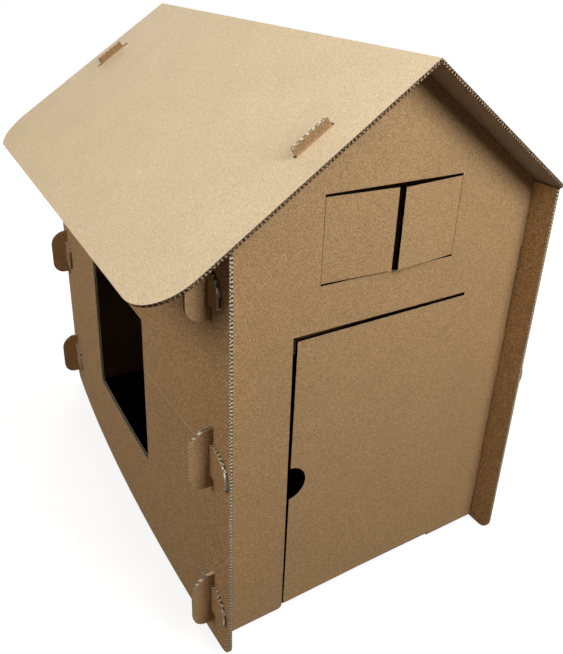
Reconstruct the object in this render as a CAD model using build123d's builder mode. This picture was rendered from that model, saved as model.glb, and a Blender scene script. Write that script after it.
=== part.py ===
from build123d import *
from math import cos, radians, sin, tan
import os

os.makedirs("parts", exist_ok=True)

# Barn of corrugated cardboard: two side walls, two gables whose ears pass through
# the walls and are locked by keys, and a one-piece roof creased at the ridge.
# Millimetres. The front is -Y, the left is -X and the floor is Z = 0.

# Board: double-wall corrugated sheet
board = 6.6
touch_gap = 0.3
cut_overrun = 20.0

# Plan
hut_width = 712.0
wall_length = 1128.5
wall_top = 883.5
eave_reach = 134.0
ear_reach = 44.8
roof_past_front = 8.5
roof_past_back = 36.0
roof_length = roof_past_front + wall_length + roof_past_back
total_width = eave_reach + hut_width + ear_reach
left_x = eave_reach - total_width / 2
right_x = left_x + hut_width
ridge_x = (left_x + right_x) / 2
front_y = roof_past_front - roof_length / 2
back_y = front_y + wall_length

# Roof, resting on the right wall's top
pitch = radians(35.0)
ridge_height = wall_top + touch_gap + board / cos(pitch) + hut_width / 2 * tan(pitch)
eave_radius = 100.0
right_lip = 4.8
right_corner_radius = 12.0
tab_distance = 221.0
tab_width = 76.0
tab_proud = 16.0
tab_root = 14.0
roof_slot_side_gap = 1.2
front_slot_distance = 220.5
front_slot_length = 84.0
back_slot_distance = 219.0
back_slot_length = 103.0

# Gables
front_gable_inset = 58.0
back_gable_inset = 47.4
gable_gap_left = 2.0
gable_gap_right = 2.0
front_gable_y = front_y + front_gable_inset
back_gable_y = back_y - back_gable_inset - board

# Left wall: bowed outwards, leaning in towards the back, hung on the ears, its top just under the roof
left_wall_lift = 10.0
left_bow_low = 23.0
left_bow_high = 15.0
left_skew = 8.0
left_reach_high = (4 * left_bow_high - left_skew) ** 2 / (16 * left_bow_high)
left_wall_top = wall_top - left_reach_high * tan(pitch)

# Both walls have rounded lower corners; the right one is flat and stands on the floor
wall_corner_radius = 30.0

# Window in the left wall
window_start = 381.5
window_length = 362.0
window_sill = 221.0
window_height = 365.0

# Door
door_start = 153.0
door_width = 406.0
door_head = 667.0
door_leaf_lift = 15.5
door_side_gap = 3.0
door_head_gap = 4.5
door_swing = radians(0.52)
right_foot_lift = 7.0
foot_radius = 10.0
handle_radius = 38.0
handle_height = 341.0

# Shutters
shutter_offset = -1.35
shutter_width = 304.3
shutter_height = 167.0
shutter_head_drop = 217.6
shutter_gap = 4.5
shutter_meet_offset = 1.25
shutter_meet_gap = 10.0
left_shutter_swing = radians(3.4)
right_shutter_swing = radians(5.3)
crease_width = 2.4
crease_depth = 1.0

# Ears of the gables, from the lowest up, and the slots in the walls for them
ear_height = 126.0
top_ear_height = 121.0
lowest_ear_bottom = 60.5
middle_ear_share = 0.4584
top_ear_drop = 18.0
ear_bottoms = [lowest_ear_bottom, middle_ear_share * wall_top, wall_top - top_ear_drop - top_ear_height]
ear_heights = [ear_height, ear_height, top_ear_height]
ear_high_radius = 40.0
ear_low_radius = 30.0
wall_slot_side_gap = 1.2
left_slot_drops = [12.0, 12.0, 8.0]
right_slot_rises = [1.5, 1.5, 1.5]

# Keys that lock the ears, from the lowest up
key_length = 116.0
key_height = 66.0
key_rises = [29.5, 26.5, 28.0]
key_reaches = [51.5, 59.0, 36.0]
key_large_radius = 45.0
key_middle_radius = 22.0
key_small_radius = 10.0
key_slot_inset = 1.5
key_slot_depth = 7.8
key_slot_play = 1.4
levels = ["bottom", "middle", "top"]
key_bottoms = [bottom + rise for bottom, rise in zip(ear_bottoms, key_rises)]


def left_wall_face(y, z):
    # Outer face of the bowed left wall at depth y and height z
    along = (y - front_y) / wall_length
    rise = (z - left_wall_lift) / (left_wall_top - left_wall_lift)
    bow = left_bow_low + (left_bow_high - left_bow_low) * rise
    return left_x - 4 * bow * along * (1 - along) + left_skew * along


def left_wall_slope(y, z):
    # Sideways travel of that face per unit of depth
    return (left_wall_face(y + board, z) - left_wall_face(y - board, z)) / (2 * board)


def roof_under(x):
    # Height of the roof's underside over x
    return ridge_height - board / cos(pitch) - abs(x - ridge_x) * tan(pitch)


def front_view(y):
    # Plane seen from the front: local axes are X and Z, and it extrudes towards the front
    return Plane(origin=(0, y, 0), x_dir=(1, 0, 0), z_dir=(0, -1, 0))


def side_view(x):
    # Plane seen from the side: local axes are Y and Z, and it extrudes towards the right
    return Plane(origin=(x, 0, 0), x_dir=(0, 1, 0), z_dir=(1, 0, 0))


def rectangle_edges(start, end, low, high):
    Polyline((start, low), (end, low), (end, high), (start, high), close=True)


# Roof: one sheet creased along the ridge, slotted for the gables' tabs
left_run = (hut_width / 2 + eave_reach) / cos(pitch)
right_run = (hut_width / 2 + right_lip) / cos(pitch)
ridge_point = (ridge_x, 0, ridge_height)
left_slope = Plane(ridge_point, x_dir=(-cos(pitch), 0, -sin(pitch)), z_dir=(sin(pitch), 0, -cos(pitch)))
right_slope = Plane(ridge_point, x_dir=(cos(pitch), 0, -sin(pitch)), z_dir=(sin(pitch), 0, cos(pitch)))
with BuildPart() as roof:
    for slope, run, radius, thickness in (
        (left_slope, left_run, eave_radius, board),
        (right_slope, right_run, right_corner_radius, -board),
    ):
        with BuildSketch(slope):
            with BuildLine():
                Line((0, -roof_length / 2), (run - radius, -roof_length / 2))
                CenterArc((run - radius, radius - roof_length / 2), radius, -90, 90)
                Line((run, radius - roof_length / 2), (run, roof_length / 2 - radius))
                CenterArc((run - radius, roof_length / 2 - radius), radius, 0, 90)
                Line((run - radius, roof_length / 2), (0, roof_length / 2))
                Line((0, roof_length / 2), (0, -roof_length / 2))
            make_face()
            for distance, face_y, length in (
                (front_slot_distance, front_gable_y, front_slot_length),
                (back_slot_distance, back_gable_y, back_slot_length),
            ):
                with Locations((distance, face_y + board / 2)):
                    Rectangle(length, board + 2 * roof_slot_side_gap, mode=Mode.SUBTRACT)
        extrude(amount=thickness)
roof.part.label = "roof"
export_step(roof.part, "parts/roof.step")

# Left wall: a bowed slab cut to the sheet's outline, with its window and ear slots
middle_y = (front_y + back_y) / 2
with BuildPart() as left_wall:
    for z in (0, left_wall_top + cut_overrun):
        with BuildSketch(Plane.XY.offset(z)):
            with BuildLine():
                outer = ThreePointArc(
                    (left_wall_face(front_y, z), front_y),
                    (left_wall_face(middle_y, z), middle_y),
                    (left_wall_face(back_y, z), back_y),
                )
                inner = ThreePointArc(
                    (left_wall_face(front_y, z) + board, front_y),
                    (left_wall_face(middle_y, z) + board, middle_y),
                    (left_wall_face(back_y, z) + board, back_y),
                )
                Line(outer @ 0, inner @ 0)
                Line(outer @ 1, inner @ 1)
            make_face()
    loft(ruled=True)
    with BuildSketch(side_view(left_x)) as left_sheet:
        with BuildLine():
            rectangle_edges(front_y, back_y, left_wall_lift, left_wall_top)
        make_face()
        fillet(left_sheet.vertices().group_by(Axis.Y)[0], radius=wall_corner_radius)
        with BuildLine():
            rectangle_edges(
                front_y + window_start,
                front_y + window_start + window_length,
                window_sill,
                window_sill + window_height,
            )
        make_face(mode=Mode.SUBTRACT)
        for face_y in (front_gable_y, back_gable_y):
            for bottom, height, drop in zip(ear_bottoms, ear_heights, left_slot_drops):
                with BuildLine():
                    rectangle_edges(
                        face_y - wall_slot_side_gap,
                        face_y + board + wall_slot_side_gap,
                        bottom - drop,
                        bottom + height + touch_gap,
                    )
                make_face(mode=Mode.SUBTRACT)
    extrude(amount=left_bow_low + board + cut_overrun, both=True, mode=Mode.INTERSECT)
left_wall.part.label = "left_wall"
export_step(left_wall.part, "parts/left_wall.step")

# Right wall: a flat sheet with its ear slots
with BuildPart() as right_wall:
    with BuildSketch(side_view(right_x)) as right_sheet:
        with BuildLine():
            rectangle_edges(front_y, back_y, 0, wall_top)
        make_face()
        fillet(right_sheet.vertices().group_by(Axis.Y)[0], radius=wall_corner_radius)
        for face_y in (front_gable_y, back_gable_y):
            for bottom, height, rise in zip(ear_bottoms, ear_heights, right_slot_rises):
                with BuildLine():
                    rectangle_edges(
                        face_y - wall_slot_side_gap,
                        face_y + board + wall_slot_side_gap,
                        bottom - touch_gap,
                        bottom + height + rise,
                    )
                make_face(mode=Mode.SUBTRACT)
    extrude(amount=-board)
right_wall.part.label = "right_wall"
export_step(right_wall.part, "parts/right_wall.step")

# Gables: a sheet under the roof with an ear at each wall slot and a tab at each roof slot
door_edge = left_x + door_start
door_hinge = door_edge + door_width
handle_start = door_edge + door_side_gap / 2
shutter_left = ridge_x + shutter_offset - shutter_width / 2
shutter_right = shutter_left + shutter_width
shutter_head = ridge_height - shutter_head_drop
shutter_sill = shutter_head - shutter_height
shutter_meet = (shutter_left + shutter_right) / 2 + shutter_meet_offset
shutter_low = shutter_sill + shutter_gap
shutter_high = shutter_head - shutter_gap
shutter_half_gap = shutter_meet_gap / 2
leaves = [
    (door_hinge, door_edge + door_side_gap, door_leaf_lift, door_head - door_head_gap, door_swing, 0),
    (shutter_left, shutter_meet - shutter_half_gap, shutter_low, shutter_high, left_shutter_swing, crease_depth),
    (shutter_right, shutter_meet + shutter_half_gap, shutter_low, shutter_high, right_shutter_swing, crease_depth),
]
for name, face_y, lift in (("front_wall", front_gable_y, right_foot_lift), ("back_wall", back_gable_y, 0)):
    low_left = left_wall_face(face_y, left_wall_lift) + board + gable_gap_left
    high_left = left_wall_face(face_y, left_wall_top) + board + gable_gap_left
    gable_right = right_x - board - gable_gap_right
    with BuildPart() as gable:
        with BuildSketch(front_view(face_y + board)) as gable_sheet:
            with BuildLine():
                Polyline(
                    (low_left, 0),
                    (door_edge, 0),
                    (door_hinge, lift),
                    (gable_right, lift),
                    (gable_right, roof_under(gable_right) - touch_gap),
                    (ridge_x, roof_under(ridge_x) - touch_gap),
                    (high_left, roof_under(high_left) - touch_gap),
                    close=True,
                )
            make_face()
            for side, root in ((-1, max(low_left, high_left)), (1, gable_right)):
                # Tab, square to the roof's slope
                corners = []
                for along, out in ((-0.5, -tab_root), (0.5, -tab_root), (0.5, tab_proud), (-0.5, tab_proud)):
                    reach = tab_distance + along * tab_width
                    corners.append((
                        ridge_x + side * (reach * cos(pitch) + out * sin(pitch)),
                        ridge_height - reach * sin(pitch) + out * cos(pitch),
                    ))
                with BuildLine():
                    Polyline(*corners, close=True)
                make_face()
                # Ears, each with the slot that its key passes through
                for bottom, height, key_bottom in zip(ear_bottoms, ear_heights, key_bottoms):
                    top = bottom + height
                    wall_face = left_wall_face(face_y, bottom + height / 2) if side < 0 else right_x
                    tip = wall_face + side * ear_reach
                    with BuildLine():
                        Line((root, bottom), (tip - side * ear_low_radius, bottom))
                        RadiusArc(
                            (tip - side * ear_low_radius, bottom),
                            (tip, bottom + ear_low_radius),
                            -side * ear_low_radius,
                        )
                        Line((tip, bottom + ear_low_radius), (tip, top - ear_high_radius))
                        RadiusArc(
                            (tip, top - ear_high_radius),
                            (tip - side * ear_high_radius, top),
                            -side * ear_high_radius,
                        )
                        Line((tip - side * ear_high_radius, top), (root, top))
                        Line((root, top), (root, bottom))
                    make_face()
                    with BuildLine():
                        rectangle_edges(
                            wall_face - side * key_slot_inset,
                            wall_face + side * key_slot_depth,
                            key_bottom - touch_gap,
                            key_bottom + key_height + key_slot_play,
                        )
                    make_face(mode=Mode.SUBTRACT)
            if name == "front_wall":
                with BuildLine():
                    rectangle_edges(door_edge, door_hinge, -cut_overrun, door_head)
                make_face(mode=Mode.SUBTRACT)
                fillet(gable_sheet.vertices().sort_by_distance((door_edge, 0))[0], radius=foot_radius)
                with BuildLine():
                    rectangle_edges(shutter_left, shutter_right, shutter_sill, shutter_head)
                make_face(mode=Mode.SUBTRACT)
        extrude(amount=board)
        if name == "front_wall":
            # Door and shutters: leaves of the same sheet, folded out about their front crease
            for hinge, free, low, high, swing, groove in leaves:
                side = 1 if free > hinge else -1
                width = abs(free - hinge)
                free_x = hinge + side * width * cos(swing)
                free_y = face_y - width * sin(swing)
                with BuildSketch(Plane.XY.offset(low)):
                    with BuildLine():
                        Polyline(
                            (hinge, face_y + groove),
                            (hinge + side * crease_width / 2, face_y - tan(swing) * crease_width / 2),
                            (free_x, free_y),
                            (free_x + side * board * sin(swing), free_y + board * cos(swing)),
                            (hinge + side * board * tan(swing / 2), face_y + board),
                            (hinge, face_y + board),
                            close=True,
                        )
                    make_face()
                extrude(amount=high - low)
            with BuildSketch(front_view(face_y + board + cut_overrun)):
                with BuildLine():
                    Line((handle_start, handle_height - handle_radius), (handle_start, handle_height + handle_radius))
                    RadiusArc(
                        (handle_start, handle_height + handle_radius),
                        (handle_start, handle_height - handle_radius),
                        handle_radius,
                    )
                make_face()
            extrude(amount=board + door_width * sin(door_swing) + 2 * cut_overrun, mode=Mode.SUBTRACT)
    gable.part.label = name
    export_step(gable.part, f"parts/{name}.step")

# Keys: flat boards through the ears, against the walls' outer faces
for end, face_y, inwards in (("front", front_gable_y, 1), ("back", back_gable_y, -1)):
    gable_middle = face_y + board / 2
    for wall, side in (("left", -1), ("right", 1)):
        for index, level in enumerate(levels):
            key_middle = key_bottoms[index] + key_height / 2
            if side < 0:
                wall_face = left_wall_face(gable_middle, key_middle)
                wall_slope = left_wall_slope(gable_middle, key_middle)
            else:
                wall_face = right_x
                wall_slope = 0
            key_plane = Plane(
                origin=(wall_face + side * touch_gap, gable_middle, key_bottoms[index]),
                x_dir=(wall_slope, 1, 0),
                z_dir=(1, -wall_slope, 0),
            )
            outer_end = -inwards * key_reaches[index]
            inner_end = outer_end + inwards * key_length
            with BuildPart() as key:
                with BuildSketch(key_plane) as key_sheet:
                    with BuildLine():
                        rectangle_edges(min(outer_end, inner_end), max(outer_end, inner_end), 0, key_height)
                    make_face()
                    # The upper corners are rounder, most of all the outer one
                    for end_place, z, radius in (
                        (outer_end, 0, key_small_radius),
                        (outer_end, key_height, key_large_radius),
                        (inner_end, 0, key_small_radius),
                        (inner_end, key_height, key_middle_radius),
                    ):
                        fillet(key_sheet.vertices().sort_by_distance((end_place, z))[0], radius=radius)
                extrude(amount=side * board)
            key.part.label = f"key_{end}_{wall}_{level}"
            export_step(key.part, f"parts/key_{end}_{wall}_{level}.step")
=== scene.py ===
import math

import bmesh
import bpy
import numpy as np
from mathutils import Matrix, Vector


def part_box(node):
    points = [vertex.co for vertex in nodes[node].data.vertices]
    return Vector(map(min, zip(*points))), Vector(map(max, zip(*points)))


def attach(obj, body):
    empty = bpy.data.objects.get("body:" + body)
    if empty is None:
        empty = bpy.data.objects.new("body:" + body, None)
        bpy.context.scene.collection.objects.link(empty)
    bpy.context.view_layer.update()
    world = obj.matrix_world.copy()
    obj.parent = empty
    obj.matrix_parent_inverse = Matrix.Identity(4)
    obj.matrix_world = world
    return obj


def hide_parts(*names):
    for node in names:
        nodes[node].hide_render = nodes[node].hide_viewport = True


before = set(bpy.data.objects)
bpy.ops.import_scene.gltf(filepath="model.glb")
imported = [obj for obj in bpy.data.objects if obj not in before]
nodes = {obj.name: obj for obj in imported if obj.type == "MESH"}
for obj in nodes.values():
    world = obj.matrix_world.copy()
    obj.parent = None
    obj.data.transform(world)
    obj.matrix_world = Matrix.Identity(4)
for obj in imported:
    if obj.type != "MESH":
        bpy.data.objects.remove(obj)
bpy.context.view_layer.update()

mm = 0.001
print("frame loaded,", len(nodes), "pieces of board")

# Double-wall board, from its outer face inwards: liner, B flute, liner, C flute, liner. Depths in mm.
# The liners are drawn about half as thick again as real ones. A single wave is finer than a pixel of the
# render, so each flute's paper is drawn thick on one crest and thin beyond it, as light and dark dots.
boardMake = {
    "thickness": 6.6,
    "liner": 0.55,
    "paper": 0.3,             # the fluted sheets, beyond the thick crests
    "crest": 0.3,             # how far up its wave the paper is drawn thick
    "clearance": 0.02,        # between a thick crest and the liners
    "bFlute": (0.55, 2.6, 6.4),     # from, to, pitch
    "middleLiner": (2.6, 3.1),
    "cFlute": (3.1, 6.05, 7.7),
    "samples": 8,             # steps along one flute's wave
    "grid": 40.0,             # the liners' mesh
    "pressed": 0.4,           # the liner in a fold
}

# How closely the solids are read and the sheets are meshed
meshMake = {
    "solidWeld": 0.00001,     # metres
    "sheetWeld": 0.000002,
    "oneWay": 0.99999,        # how well the faces of one flat panel agree in direction
    "oneSide": 0.8,           # the same for all panels on one side of a sheet
    "rowGap": 0.12,           # mm, how close a row of the mesh may come to a corner
    "stopGap": 0.5,           # mm, how close a stop may come to an outline
    "slack": 0.000001,        # mm
    "sharp": 50,              # degrees
}


def readSolid(node):
    solid = bmesh.new()
    solid.from_mesh(nodes[node].data)
    bmesh.ops.remove_doubles(solid, verts=solid.verts, dist=meshMake["solidWeld"])
    solid.normal_update()
    return solid


# The directions of the faces that look roughly one way and have at least that many m2, largest first
def findFacings(solid, roughly, least=0.001):
    groups = {}
    for face in solid.faces:
        if face.normal.dot(roughly) > meshMake["oneSide"]:
            key = tuple(round(value, 2) for value in face.normal)
            area, total = groups.get(key, (0.0, Vector()))
            groups[key] = (area + face.calc_area(), total + face.normal * face.calc_area())
    large = [(area, total.normalized()) for area, total in groups.values() if area > least]
    return [facing for area, facing in sorted(large, key=lambda pair: -pair[0])]


# The outlines of the faces that match, as closed loops of points
def readLoops(solid, matches):
    chosen = {face for face in solid.faces if matches(face)}
    onward = {}
    for face in chosen:
        for loop in face.loops:
            if sum(other in chosen for other in loop.edge.link_faces) == 1:
                onward.setdefault(loop.vert, []).append(loop.link_loop_next.vert)
    loops = []
    while onward:
        here = next(iter(onward))
        points = []
        while here in onward:
            points.append(here.co.copy())
            following = onward[here].pop()
            if not onward[here]:
                del onward[here]
            here = following
        loops.append(points)
    return loops


# Fills flat loops (in mm) with cells between rows and stops, with no corner left on a neighbour's side
def fillSheet(loops, rows, stops):
    rowGap, stopGap, slack = meshMake["rowGap"], meshMake["stopGap"], meshMake["slack"]
    corners = {round(v, 2) for loop in loops for u, v in loop}
    low = min(corners)
    high = max(corners)
    kept = [row for row in rows if low < row < high and min(abs(row - c) for c in corners) > rowGap]
    lines = sorted(corners | {round(row, 3) for row in kept})
    edges = []
    for loop in loops:
        for (ua, va), (ub, vb) in zip(loop, loop[1:] + loop[:1]):
            va, vb = round(va, 2), round(vb, 2)
            if va != vb:
                edges.append((va, ua, vb, ub) if va < vb else (vb, ub, va, ua))
    edges.sort()
    marks = [set() for line in lines]
    bands = []
    for index in range(len(lines) - 1):
        bottom, top = lines[index], lines[index + 1]
        crossings = []
        for va, ua, vb, ub in edges:
            if va > bottom + slack:
                break
            if vb >= top - slack:
                slope = (ub - ua) / (vb - va)
                crossings.append((round(ua + slope * (bottom - va), 3), round(ua + slope * (top - va), 3)))
        crossings.sort(key=sum)
        for left, right in zip(crossings[0::2], crossings[1::2]):
            inner = [stop for stop in stops if max(left) + stopGap < stop < min(right) - stopGap]
            sides = [left] + [(stop, stop) for stop in inner] + [right]
            for side in sides:
                marks[index].add(side[0])
                marks[index + 1].add(side[1])
            bands.append((index, sides))
    ordered = [sorted(row) for row in marks]
    places = {}
    faces = []
    for index, sides in bands:
        for (leftLow, leftHigh), (rightLow, rightHigh) in zip(sides, sides[1:]):
            under = [u for u in ordered[index] if leftLow <= u <= rightLow]
            over = [u for u in ordered[index + 1] if leftHigh <= u <= rightHigh]
            ring = [(u, index) for u in under] + [(u, index + 1) for u in reversed(over)]
            if len(set(ring)) > 2:
                faces.append([places.setdefault(key, len(places)) for key in ring])
    return [(u, lines[index]) for u, index in places], faces


# The places of a sheet's papers in its list of materials
linerFace, cutEdge, flutedFace, shadedKerfEdge, innerFace, fluteEdge, crease = range(7)


class Sheet:
    def __init__(self):
        self.points = []
        self.flat = []
        self.faces = []
        self.papers = []

    # One layer between two depths, each a number or a function of v. Its skins are the papers of its two
    # faces, rim gives the paper of its cut edge, and where it is scored its upper face is creased.
    def addLayer(self, filled, place, upper, lower, skins, rim, scored=None):
        flat, faces = filled
        count = len(flat)
        start = len(self.points)
        for depth in (upper, lower):
            for u, v in flat:
                level = depth(v) if callable(depth) else depth
                self.points.append(place(u, v, level))
                self.flat.append((u, v, level))
        outline = {}
        for face in faces:
            self.faces.append([start + corner for corner in face])
            self.faces.append([start + count + corner for corner in reversed(face)])
            creased = scored and scored(*np.mean([flat[corner] for corner in face], 0))
            self.papers += [crease if creased else skins[0], skins[1]]
            for a, b in zip(face, face[1:] + face[:1]):
                if (b, a) in outline:
                    del outline[(b, a)]
                else:
                    outline[(a, b)] = True
        for a, b in outline:
            self.faces.append([start + b, start + a, start + count + a, start + count + b])
            self.papers.append(rim((flat[a][0] + flat[b][0]) / 2, (flat[a][1] + flat[b][1]) / 2))

    # The whole board: two outer liners, the middle one and two fluted sheets. A dark board is a leaf, with
    # kerfs all round, and its cut edges and inner faces are painted near black as painted shade. For the
    # others, kerf, pale and scored say at which u and v the paper differs; a cut edge in a kerf gets the
    # same painted shade.
    def addBoard(self, loops, place, stops=(), creases=(), dark=False, kerf=None, pale=None,
                 scored=None):
        us = [u for loop in loops for u, v in loop]
        vs = [v for loop in loops for u, v in loop]
        make = boardMake
        thick, liner, grid = make["thickness"], make["liner"], make["grid"]
        rows = np.arange(min(vs) + grid / 2, max(vs), grid)
        across = sorted(set(stops) | set(np.arange(min(us) + grid / 2, max(us), grid).round(2)))
        plain = fillSheet(loops, rows, across)
        creased = fillSheet(loops, sorted(set(rows) | set(creases)), across) if creases else plain

        def isKerf(u, v):
            return dark or kerf and kerf(u, v)

        def openRim(u, v):
            if pale and pale(u, v):
                return fluteEdge
            return shadedKerfEdge if dark else cutEdge

        def deepRim(u, v):
            return shadedKerfEdge if isKerf(u, v) else openRim(u, v)

        def fluteRim(u, v):
            return shadedKerfEdge if isKerf(u, v) else fluteEdge

        inner = shadedKerfEdge if dark else flutedFace
        self.addLayer(creased, place, 0.0, liner, (linerFace, inner), openRim, scored)
        self.addLayer(plain, place, *make["middleLiner"], (inner, inner), deepRim)
        self.addLayer(plain, place, thick - liner, thick, (inner, innerFace), deepRim)
        for top, bottom, pitch in (make["bFlute"], make["cFlute"]):
            step = pitch / make["samples"]
            waves = np.arange(math.floor(min(vs) / step) * step, max(vs), step)
            middle = (top + bottom) / 2
            full = (bottom - top) / 2 - make["clearance"]

            def wave(v, side):
                thickened = math.sin(2 * math.pi * v / pitch) > make["crest"]
                return middle + side * (full if thickened else make["paper"] / 2)

            self.addLayer(fillSheet(loops, waves, stops), place, lambda v: wave(v, -1),
                          lambda v: wave(v, 1), (inner, inner), fluteRim)

    # The pressed liner in a fold, read from the solid's own narrow faces there
    def addFold(self, solid, matches):
        for face in [face for face in solid.faces if matches(face)]:
            start = len(self.points)
            corners = [vert.co for vert in face.verts]
            for drop in (0.0, boardMake["pressed"]):
                for corner in corners:
                    self.points.append(corner - face.normal * drop * mm)
                    self.flat.append((corner.x / mm, corner.z / mm, drop))
            count = len(corners)
            self.faces.append([start + i for i in range(count)])
            self.faces.append([start + count + i for i in reversed(range(count))])
            self.papers += [crease, crease]
            for i in range(count):
                j = (i + 1) % count
                self.faces.append([start + j, start + i, start + count + i, start + count + j])
                self.papers.append(crease)

    def finish(self, name, papers):
        mesh = bpy.data.meshes.new(name)
        mesh.from_pydata(self.points, [], self.faces)
        mesh.validate()
        mesh.polygons.foreach_set("material_index", self.papers[:len(mesh.polygons)])
        place = mesh.attributes.new("flatPlace", "FLOAT_VECTOR", "POINT")
        place.data.foreach_set("vector", np.array(self.flat, np.float32).ravel())
        shape = bmesh.new()
        shape.from_mesh(mesh)
        bmesh.ops.remove_doubles(shape, verts=shape.verts, dist=meshMake["sheetWeld"])
        bmesh.ops.dissolve_degenerate(shape, edges=shape.edges, dist=meshMake["sheetWeld"])
        bmesh.ops.recalc_face_normals(shape, faces=shape.faces)
        shape.to_mesh(mesh)
        shape.free()
        mesh.shade_smooth()
        mesh.set_sharp_from_angle(angle=math.radians(meshMake["sharp"]))
        for paper in papers:
            mesh.materials.append(paper)
        piece = bpy.data.objects.new(name + "_board", mesh)
        bpy.context.scene.collection.objects.link(piece)
        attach(piece, "root")
        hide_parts(name)
        print("made", name, "with", sum(len(face.vertices) - 2 for face in mesh.polygons), "triangles")


# A flat part of a sheet: its loops in mm, along its flutes and across them, and the way back to metres
def flatPanel(solid, facing, along, origin=None):
    across = facing.cross(along).normalized()
    loops = readLoops(solid, lambda face: face.normal.dot(facing) > meshMake["oneWay"])
    start = facing * loops[0][0].dot(facing) if origin is None else origin
    flat = [[((point - start).dot(along) / mm, (point - start).dot(across) / mm) for point in loop]
            for loop in loops]

    def place(u, v, depth):
        return start + (along * u + across * v - facing * depth) * mm

    return flat, place


def toLinear(code):
    parts = [int(code[i:i + 2], 16) / 255 for i in (0, 2, 4)]
    return tuple(c / 12.92 if c <= 0.04045 else ((c + 0.055) / 1.055) ** 2.4 for c in parts) + (1.0,)


# Adds a node, sets its options and fills or links its sockets
def addNode(tree, kind, inputs=None, **options):
    node = tree.nodes.new("ShaderNode" + kind)
    for name, value in options.items():
        setattr(node, name, value)
    for name, value in (inputs or {}).items():
        if isinstance(value, bpy.types.NodeSocket):
            tree.links.new(value, node.inputs[name])
        else:
            node.inputs[name].default_value = value
    return node


def newMaterial(name):
    material = bpy.data.materials.new(name)
    material.use_nodes = True
    material.node_tree.nodes.clear()
    return material, material.node_tree


noiseLevels = (0.3, 0.7)      # where nearly all of a noise lies

# Brown liner: unbleached paper, rolled smooth but matt. The eye sees short fibres as a fine mottle, faint
# clouds where the pulp lay thicker, a few dark specks, and the flutes as a very weak washboard.
linerLook = {
    # colour, how strong the mottle is, and mm between mottles; single fibres are finer than a pixel
    "wall": ("b59165", 0.42, 1.2),
    "side": ("bd986a", 0.46, 2.0),
    # painted light: the roof's liner is drawn paler and greyer than the walls' for the overhead light and
    # sheen on it
    "roof": ("dbc6a2", 0.19, 1.4),
    # painted shade: the roof's underside is drawn darker and greyer
    "roofInsideShade": ("9c8a76", 0.36, 1.5),
    "roughness": 0.82,
    "gloss": 0.3,
    "felt": 3.0,              # mm between the sheet's small dents
    "dent": 0.0003,           # metres
    "bump": 0.06,
    "streak": (0.35, 0.05, 0.2),    # streaks for each mm, along the flutes, across them and in depth
    "streakShade": 0.02,      # how much paler and darker they are
    "cloud": 120.0,           # mm
    "cloudShade": 0.03,
    "fleck": 7.0,             # mm between specks
    "fleckLevels": (0.7, 0.78),     # the part of the noise that is a speck
    "fleckShade": 0.86,
    "fluteShade": 0.003,      # of the B flute, which lies under the outer liner
    "fluteHeight": 0.06,      # of a dent's depth
    # The tabs were pushed through the roof; above it they are drawn darker, as painted shade. The ridge's x
    # and height and where a tab begins above the roof are in metres.
    "ridge": (0.0446, 1.1411),
    "slope": math.tan(math.radians(35)),
    "tabEdge": (0.001, 0.004),
    "tabPaintedShade": 0.66,
}


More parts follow.
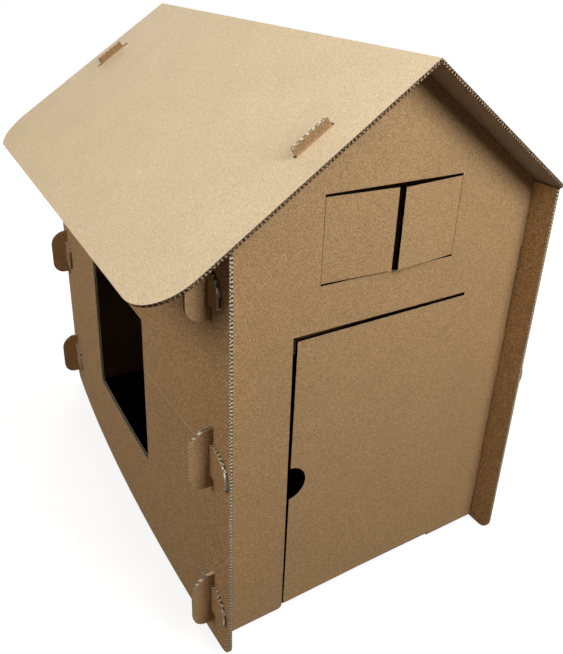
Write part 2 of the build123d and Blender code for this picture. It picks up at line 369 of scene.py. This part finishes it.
def brownLiner(name, color, mottle, size):
    material, tree = newMaterial(name)
    look = linerLook
    flat = addNode(tree, "Attribute", attribute_name="flatPlace").outputs["Vector"]
    grain = addNode(tree, "TexVoronoi", {"Vector": flat, "Scale": 1 / size})
    fibre = addNode(tree, "SeparateXYZ", {0: grain.outputs["Color"]})
    drawn = addNode(tree, "Mapping", {"Vector": flat, "Scale": look["streak"]})
    streak = addNode(tree, "TexNoise", {"Vector": drawn.outputs[0], "Scale": 1.0, "Detail": 3.0})
    cloud = addNode(tree, "TexNoise", {"Vector": flat, "Scale": 1 / look["cloud"], "Detail": 2.0})
    fleck = addNode(tree, "TexNoise", {"Vector": flat, "Scale": 1 / look["fleck"], "Detail": 1.0})
    place = addNode(tree, "SeparateXYZ", {0: flat})
    turn = addNode(tree, "Math", {0: place.outputs[1], 1: 2 * math.pi / boardMake["bFlute"][2]},
                   operation="MULTIPLY")
    flute = addNode(tree, "Math", {0: turn.outputs[0]}, operation="SINE")

    # A height that is the ridge's all over the roof, and more on what stands above it
    ridge, peak = look["ridge"]
    spot = addNode(tree, "SeparateXYZ", {0: addNode(tree, "TexCoord").outputs["Object"]})
    aside = addNode(tree, "Math", {0: spot.outputs[0], 1: ridge}, operation="SUBTRACT")
    aside = addNode(tree, "Math", {0: aside.outputs[0]}, operation="ABSOLUTE")
    above = addNode(tree, "Math", {0: aside.outputs[0], 1: look["slope"], 2: spot.outputs[2]},
                    operation="MULTIPLY_ADD")

    # What shades the paper, from which value to which, and the shade at both ends
    both = [(fibre.outputs[0], (0.0, 1.0), mottle), (streak.outputs[0], noiseLevels, look["streakShade"]),
            (cloud.outputs[0], noiseLevels, look["cloudShade"]),
            (flute.outputs[0], (-1.0, 1.0), look["fluteShade"])]
    shades = [(fleck.outputs[0], look["fleckLevels"], (1.0, look["fleckShade"]))]
    shades += [(value, ends, (1 - shade, 1 + shade)) for value, ends, shade in both]
    # painted shade on the tabs above the roof
    shades.append((above.outputs[0], [peak + edge for edge in look["tabEdge"]], (1.0, look["tabPaintedShade"])))
    level = 1.0
    for value, (low, high), (start, end) in shades:
        part = addNode(tree, "MapRange", {"Value": value, "From Min": low, "From Max": high,
                                          "To Min": start, "To Max": end})
        level = addNode(tree, "Math", {0: level, 1: part.outputs[0]}, operation="MULTIPLY").outputs[0]
    tint = addNode(tree, "VectorMath", {0: toLinear(color)[:3], "Scale": level}, operation="SCALE")

    felt = addNode(tree, "TexNoise", {"Vector": flat, "Scale": 1 / look["felt"], "Detail": 1.0})
    board = addNode(tree, "Math", {0: flute.outputs[0], 1: look["fluteHeight"]}, operation="MULTIPLY")
    height = addNode(tree, "Math", {0: felt.outputs[0], 1: board.outputs[0]}, operation="ADD")
    bump = addNode(tree, "Bump", {"Height": height.outputs[0], "Strength": look["bump"],
                                  "Distance": look["dent"]})
    paper = addNode(tree, "BsdfPrincipled", {"Base Color": tint.outputs[0], "Roughness": look["roughness"],
                                             "Specular IOR Level": look["gloss"],
                                             "Normal": bump.outputs[0]})
    addNode(tree, "OutputMaterial", {"Surface": paper.outputs[0]})
    return material


# Paper with no rolled face. Cut liner: the knife leaves the paper's core open, paler and rougher than its
# face. Fluting: thin semi-chemical paper, seen only where it runs back between the liners, and painted near
# black there as painted shade.
roughLook = {
    # mottles for each mm, their detail, darkest and palest shade, roughness
    "cut": (0.5, 3.0, 0.86, 1.08, 0.95),
    "fluted": (0.3, 2.0, 0.88, 1.08, 0.9),
}


def roughPaper(name, color, make="cut", gloss=0.2):
    material, tree = newMaterial(name)
    scale, detail, darkest, palest, roughness = roughLook[make]
    low, high = noiseLevels
    flat = addNode(tree, "Attribute", attribute_name="flatPlace").outputs["Vector"]
    fuzz = addNode(tree, "TexNoise", {"Vector": flat, "Scale": scale, "Detail": detail})
    level = addNode(tree, "MapRange", {"Value": fuzz.outputs[0], "From Min": low, "From Max": high,
                                       "To Min": darkest, "To Max": palest})
    tint = addNode(tree, "VectorMath", {0: toLinear(color)[:3], "Scale": level.outputs[0]},
                   operation="SCALE")
    paper = addNode(tree, "BsdfPrincipled", {"Base Color": tint.outputs[0], "Roughness": roughness,
                                             "Specular IOR Level": gloss})
    addNode(tree, "OutputMaterial", {"Surface": paper.outputs[0]})
    return material


cutLiner = roughPaper("cut_liner", "e8dabb")
cutSideLiner = roughPaper("cut_liner_side", "a08560")
cutFluting = roughPaper("cut_fluting", "f2e6ca")
shadedRoofCutLiner = roughPaper("cut_liner_roof_painted_shade", "3a2c1e")     # the roof's cut edges are drawn darker, as painted shade
# painted shade: the roof's fluting edges are drawn darker too
shadedRoofCutFluting = roughPaper("cut_fluting_roof_painted_shade", "b39573")
kerfShadePaper = roughPaper("kerf_edge_painted_shade", "0c0805", gloss=0.0)  # painted shade: edges in narrow kerfs are drawn nearly black
pressed = roughPaper("pressed_crease", "7d6140")          # liner crushed in the door's and shutters' folds
scoreHighlightLiner = roughPaper("scored_liner_painted_highlight", "dcc094")        # paler along the score: painted highlight where its ridge catches the light
# painted shade: the fluting and the faces between the liners are drawn near black
fluting = roughPaper("fluting", "3a2c1c", "fluted")
wallLiner = brownLiner("brown_liner_walls", *linerLook["wall"])
sideLiner = brownLiner("brown_liner_side", *linerLook["side"])
litRoofLiner = brownLiner("brown_liner_roof", *linerLook["roof"])
shadedInsideLiner = brownLiner("brown_liner_roof_inside_painted_shade", *linerLook["roofInsideShade"])
# In the order of linerFace, cutEdge and so on
wallPapers = [wallLiner, cutLiner, fluting, kerfShadePaper, wallLiner, cutFluting, pressed]
sidePapers = [sideLiner, cutSideLiner, fluting, kerfShadePaper, sideLiner, cutFluting, scoreHighlightLiner]
roofPapers = [litRoofLiner, shadedRoofCutLiner, fluting, kerfShadePaper, shadedInsideLiner, shadedRoofCutFluting]
print("papers ready")


# The door's leaf has sagged on its crease, so its kerf opens from the foot up
gableLook = {
    # Round the door and the shutters, in metres: from left to right, from foot to head
    "kerfs": (((-0.1594, 0.2486), (0.0, 0.668)), ((-0.11, 0.1965), (0.7555, 0.9245))),
    "trim": (-1.8, 4.0),      # mm taken off the leaf's free edge at its foot and at its head
    "leaf": (15.5, 662.5),    # mm, the heights of the foot and the head
    "headTrim": 2.4,          # mm taken off the leaf's head
    "near": 0.5,              # mm, how close to an edge its points lie
    "panel": 0.005,           # m2, the least that a panel has
    "fold": 0.3,              # how far a fold's faces still look to the front or the back
}


# Narrows the door's leaf along its free edge and lowers its head
def trimLeaf(loops):
    look = gableLook
    free = min(u for loop in loops for u, v in loop)
    top = max(v for loop in loops for u, v in loop)
    (foot, head), (low, high) = look["leaf"], look["trim"]

    def trimmed(u, v):
        return (u + low + (high - low) * (v - foot) / (head - foot) if u < free + look["near"] else u,
                v - look["headTrim"] if v > top - look["near"] else v)

    return [[trimmed(u, v) for u, v in loop] for loop in loops]


def makeGable(name, outward):
    solid = readSolid(name)
    sheet = Sheet()
    front = name == "front_wall"
    facings = findFacings(solid, outward, least=gableLook["panel"])
    for index, facing in enumerate(facings):      # the gable itself, then the leaves of door and shutters
        flat, place = flatPanel(solid, facing, Vector((-facing.y, facing.x, 0)).normalized())

        # painted shade: inside these kerfs the frame's cut edges are drawn near black
        def inKerf(u, v, place=place):
            spot = place(u, v, 0)
            return any(low < spot.x < high and foot < spot.z < head
                       for (low, high), (foot, head) in gableLook["kerfs"])

        if front and index == 1:
            flat = trimLeaf(flat)
        sheet.addBoard(flat, place, dark=front and index > 0, kerf=inKerf if front else None)
    known = facings + [-facing for facing in facings]

    def inFold(face):
        return abs(face.normal.y) > gableLook["fold"] and all(
            face.normal.dot(facing) < meshMake["oneWay"] for facing in known)

    sheet.addFold(solid, inFold)
    sheet.finish(name, wallPapers)
    solid.free()


def makeRightWall():
    solid = readSolid("right_wall")
    flat, place = flatPanel(solid, findFacings(solid, Vector((1, 0, 0)))[0], Vector((0, 1, 0)))
    sheet = Sheet()
    sheet.addBoard(flat, place)
    sheet.finish("right_wall", sidePapers)
    solid.free()


# The left wall has bellied out. Its surface is one smooth form in y and z, fitted to the solid's outer face.
leftWallLook = {
    "outward": -0.95,         # the outer face looks at least this far to the left
    "stops": range(-520, 560, 80),    # mm, where its mesh follows the belly
    # A shallow score runs from the window's front edge towards the ear, in mm
    "level": 467.0,
    "from": -505.0,
    "to": -198.0,
    "half": 1.3,              # of its width
    "rise": 0.6,
    # The window's lower edge, drawn in the pale fluting paper: its heights, and how far it reaches to both
    # sides
    "sill": (200.0, 240.0),
    "sillReach": 300.0,
}


def makeLeftWall():
    look = leftWallLook
    solid = readSolid("left_wall")

    def isOuter(face):
        return face.normal.x < look["outward"]

    corners = np.array([vert.co for vert in {vert for face in solid.faces if isOuter(face)
                                             for vert in face.verts}])
    y, z = corners[:, 1], corners[:, 2]
    terms = np.stack([y ** 0, y, y * y, z, y * z, y * y * z], 1)
    weights, *rest = np.linalg.lstsq(terms, corners[:, 0], rcond=None)
    print("left wall's form holds within", round(abs(terms @ weights - corners[:, 0]).max() / mm, 2), "mm")
    flat = [[(-point.y / mm, point.z / mm) for point in loop] for loop in readLoops(solid, isOuter)]
    a, b, c, d, e, f = (float(weight) for weight in weights)

    def nearScore(u):
        return look["from"] < -u < look["to"]

    def place(u, v, depth):
        y, z = -u * mm, v * mm
        if depth <= boardMake["liner"] and nearScore(u):
            depth -= look["rise"] * max(0.0, 1 - abs(v - look["level"]) / look["half"])
        return Vector((a + b * y + c * y * y + d * z + e * y * z + f * y * y * z + depth * mm, y, z))

    def isScored(u, v):
        return abs(v - look["level"]) < look["half"] and nearScore(u)

    def isSill(u, v):
        return look["sill"][0] < v < look["sill"][1] and abs(u) < look["sillReach"]

    sheet = Sheet()
    sheet.addBoard(flat, place, stops=[float(stop) for stop in look["stops"]],
                   creases=[look["level"] + step * look["half"] for step in (-1, 0, 1)],
                   pale=isSill, scored=isScored)
    sheet.finish("left_wall", sidePapers)
    solid.free()


# The roof is one sheet, folded at the ridge: both slopes, of 0.1 m2 and more, meet on a mitre there
def makeRoof():
    solid = readSolid("roof")
    peak = max((vert.co for vert in solid.verts), key=lambda co: co.z)
    ridge = Vector((peak.x, 0, peak.z))
    sheet = Sheet()
    for facing in findFacings(solid, Vector((0, 0, 1)), least=0.1):
        lean = abs(facing.x / facing.z)
        along = Vector((0, 1 if facing.x < 0 else -1, 0))
        flat, place = flatPanel(solid, facing, along, ridge)

        def mitred(u, v, depth, place=place, lean=lean):
            return place(u, max(v, depth * lean), depth)

        sheet.addBoard(flat, mitred)
    sheet.finish("roof", roofPapers)
    solid.free()


def makeKey(name):
    solid = readSolid(name)
    side = Vector((-1 if "left" in name else 1, 0, 0))
    flat, place = flatPanel(solid, findFacings(solid, side)[0], Vector((0, 0, 1)))
    sheet = Sheet()
    sheet.addBoard(flat, place)
    sheet.finish(name, wallPapers)
    solid.free()


makeGable("front_wall", Vector((0, -1, 0)))
makeGable("back_wall", Vector((0, 1, 0)))
makeRightWall()
makeLeftWall()
makeRoof()
for name in sorted(nodes):
    if name.startswith("key_"):
        makeKey(name)
print("all sheets made")


white = (1, 1, 1, 1)


# 1 for the rays that show the background: the camera's own, and those in gloss and glass
def addSeen(tree):
    path = addNode(tree, "LightPath")
    seen = addNode(tree, "Math", {0: path.outputs["Is Camera Ray"], 1: path.outputs["Is Glossy Ray"]},
                   operation="MAXIMUM")
    seen = addNode(tree, "Math", {0: seen.outputs[0], 1: path.outputs["Is Transmission Ray"]},
                   operation="MAXIMUM")
    return seen.outputs[0]


floorLook = {
    "color": "4a3e30",        # what the floor throws back on the barn
    "shadow": (0.3, 0.3, 0.3, 1),   # what takes the barn's shadow
    "glow": (0.84, 1.0),      # near the barn and far from it
    "reach": (0.9, 1.8),      # metres, near and far
    "size": 40.0,
    "level": -0.0005,
    "ground": "0a0a0a",       # the ground inside the barn, painted near black as painted shade, since hardly any light reaches it
    "groundLevel": 0.0004,
    # Metres from the left and right walls' inner faces and from the gables' front faces to its sides
    "groundShift": (-0.004, -0.0005, 0.022, 0.003),
}


def makeFloor():
    look = floorLook
    bpy.ops.mesh.primitive_plane_add(size=look["size"], location=(0, 0, look["level"]))
    floor = bpy.context.object
    floor.name = "floor"
    material, tree = newMaterial("pale_floor")
    plain = addNode(tree, "BsdfDiffuse", {"Color": toLinear(look["color"])})
    shown = addNode(tree, "BsdfDiffuse", {"Color": look["shadow"]})
    spot = addNode(tree, "NewGeometry").outputs["Position"]
    reach = addNode(tree, "VectorMath", {0: spot}, operation="LENGTH")
    (near, far), (dim, bright) = look["reach"], look["glow"]
    rise = addNode(tree, "MapRange", {"Value": reach.outputs["Value"], "From Min": near, "From Max": far,
                                      "To Min": dim, "To Max": bright})
    glow = addNode(tree, "Emission", {"Color": white, "Strength": rise.outputs[0]})
    both = addNode(tree, "AddShader", {0: shown.outputs[0], 1: glow.outputs[0]})
    mixed = addNode(tree, "MixShader", {0: addSeen(tree), 1: plain.outputs[0], 2: both.outputs[0]})
    addNode(tree, "OutputMaterial", {"Surface": mixed.outputs[0]})
    floor.data.materials.append(material)

    shift, level = look["groundShift"], look["groundLevel"]
    left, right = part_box("left_wall")[1][0] + shift[0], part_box("right_wall")[0][0] + shift[1]
    front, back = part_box("front_wall")[0][1] + shift[2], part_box("back_wall")[0][1] + shift[3]
    inside = bpy.data.meshes.new("room_floor")
    inside.from_pydata([(left, front, level), (right, front, level), (right, back, level),
                        (left, back, level)], [], [(0, 1, 2, 3)])
    ground, tree = newMaterial("painted_shade_ground")
    shade = addNode(tree, "BsdfDiffuse", {"Color": toLinear(look["ground"])})
    addNode(tree, "OutputMaterial", {"Surface": shade.outputs[0]})
    inside.materials.append(ground)
    room = bpy.data.objects.new("room_floor", inside)
    bpy.context.scene.collection.objects.link(room)


studio = {
    "world": 0.0,             # the light of the surroundings, beside the lamps
    # name: place, size, watts, colour
    "lamps": {
        "overhead": ((0.3, 0.2, 3.4), 3.0, 27.5, "ffffff"),
        "fronthigh": ((0.9, -3.2, 2.5), 1.8, 59.0, "ffffff"),
        "frontover": ((0.5, -1.7, 2.9), 1.2, 10.0, "ffffff"),
        "frontnear": ((0.2, -1.6, 1.8), 0.8, 9.0, "f0f6ff"),
        "lefthigh": ((-2.6, -0.4, 2.4), 1.8, 39.0, "fff6ed"),
        "behind": ((0.5, 3.4, 1.7), 1.8, 62.0, "ffffff"),
        "right": ((3.2, 0.4, 1.5), 1.8, 40.0, "ffffff"),
    },
    "aim": (0.0, 0.0, 0.5),
}


def makeWorld():
    world = bpy.data.worlds.new("studio")
    bpy.context.scene.world = world
    world.use_nodes = True
    tree = world.node_tree
    tree.nodes.clear()
    soft = addNode(tree, "Background", {"Color": white, "Strength": studio["world"]})
    shown = addNode(tree, "Background", {"Color": white, "Strength": 1.0})
    mixed = addNode(tree, "MixShader", {0: addSeen(tree), 1: soft.outputs[0], 2: shown.outputs[0]})
    addNode(tree, "OutputWorld", {"Surface": mixed.outputs[0]})


def addLamps():
    for name, (spot, size, watts, color) in studio["lamps"].items():
        lamp = bpy.data.lights.new(name, "AREA")
        lamp.shape = "DISK"
        lamp.size = size
        lamp.energy = watts
        lamp.color = toLinear(color)[:3]
        holder = bpy.data.objects.new(name, lamp)
        holder.location = spot
        holder.rotation_euler = (Vector(studio["aim"]) - Vector(spot)).to_track_quat("-Z", "Y").to_euler()
        bpy.context.scene.collection.objects.link(holder)


# The photo's own view, fitted to the barn's corners
cameraView = {
    "lens": 37.2797,
    "shift": (-0.010193, -0.09554),
    "place": (-0.706525, -1.385208, 1.269812),
    "turn": (65.71214, -2.06905, -30.5991),     # degrees
    "nearest": 0.05,
}


def addCamera():
    lens = bpy.data.cameras.new("camera")
    lens.lens = cameraView["lens"]
    lens.sensor_width = 36.0
    lens.sensor_fit = "AUTO"
    lens.shift_x, lens.shift_y = cameraView["shift"]
    lens.clip_start = cameraView["nearest"]
    camera = bpy.data.objects.new("camera", lens)
    camera.location = cameraView["place"]
    camera.rotation_euler = [math.radians(angle) for angle in cameraView["turn"]]
    bpy.context.scene.collection.objects.link(camera)
    bpy.context.scene.camera = camera


makeFloor()
makeWorld()
addLamps()
addCamera()
bpy.context.scene.view_settings.view_transform = "Standard"

print("scene ready")
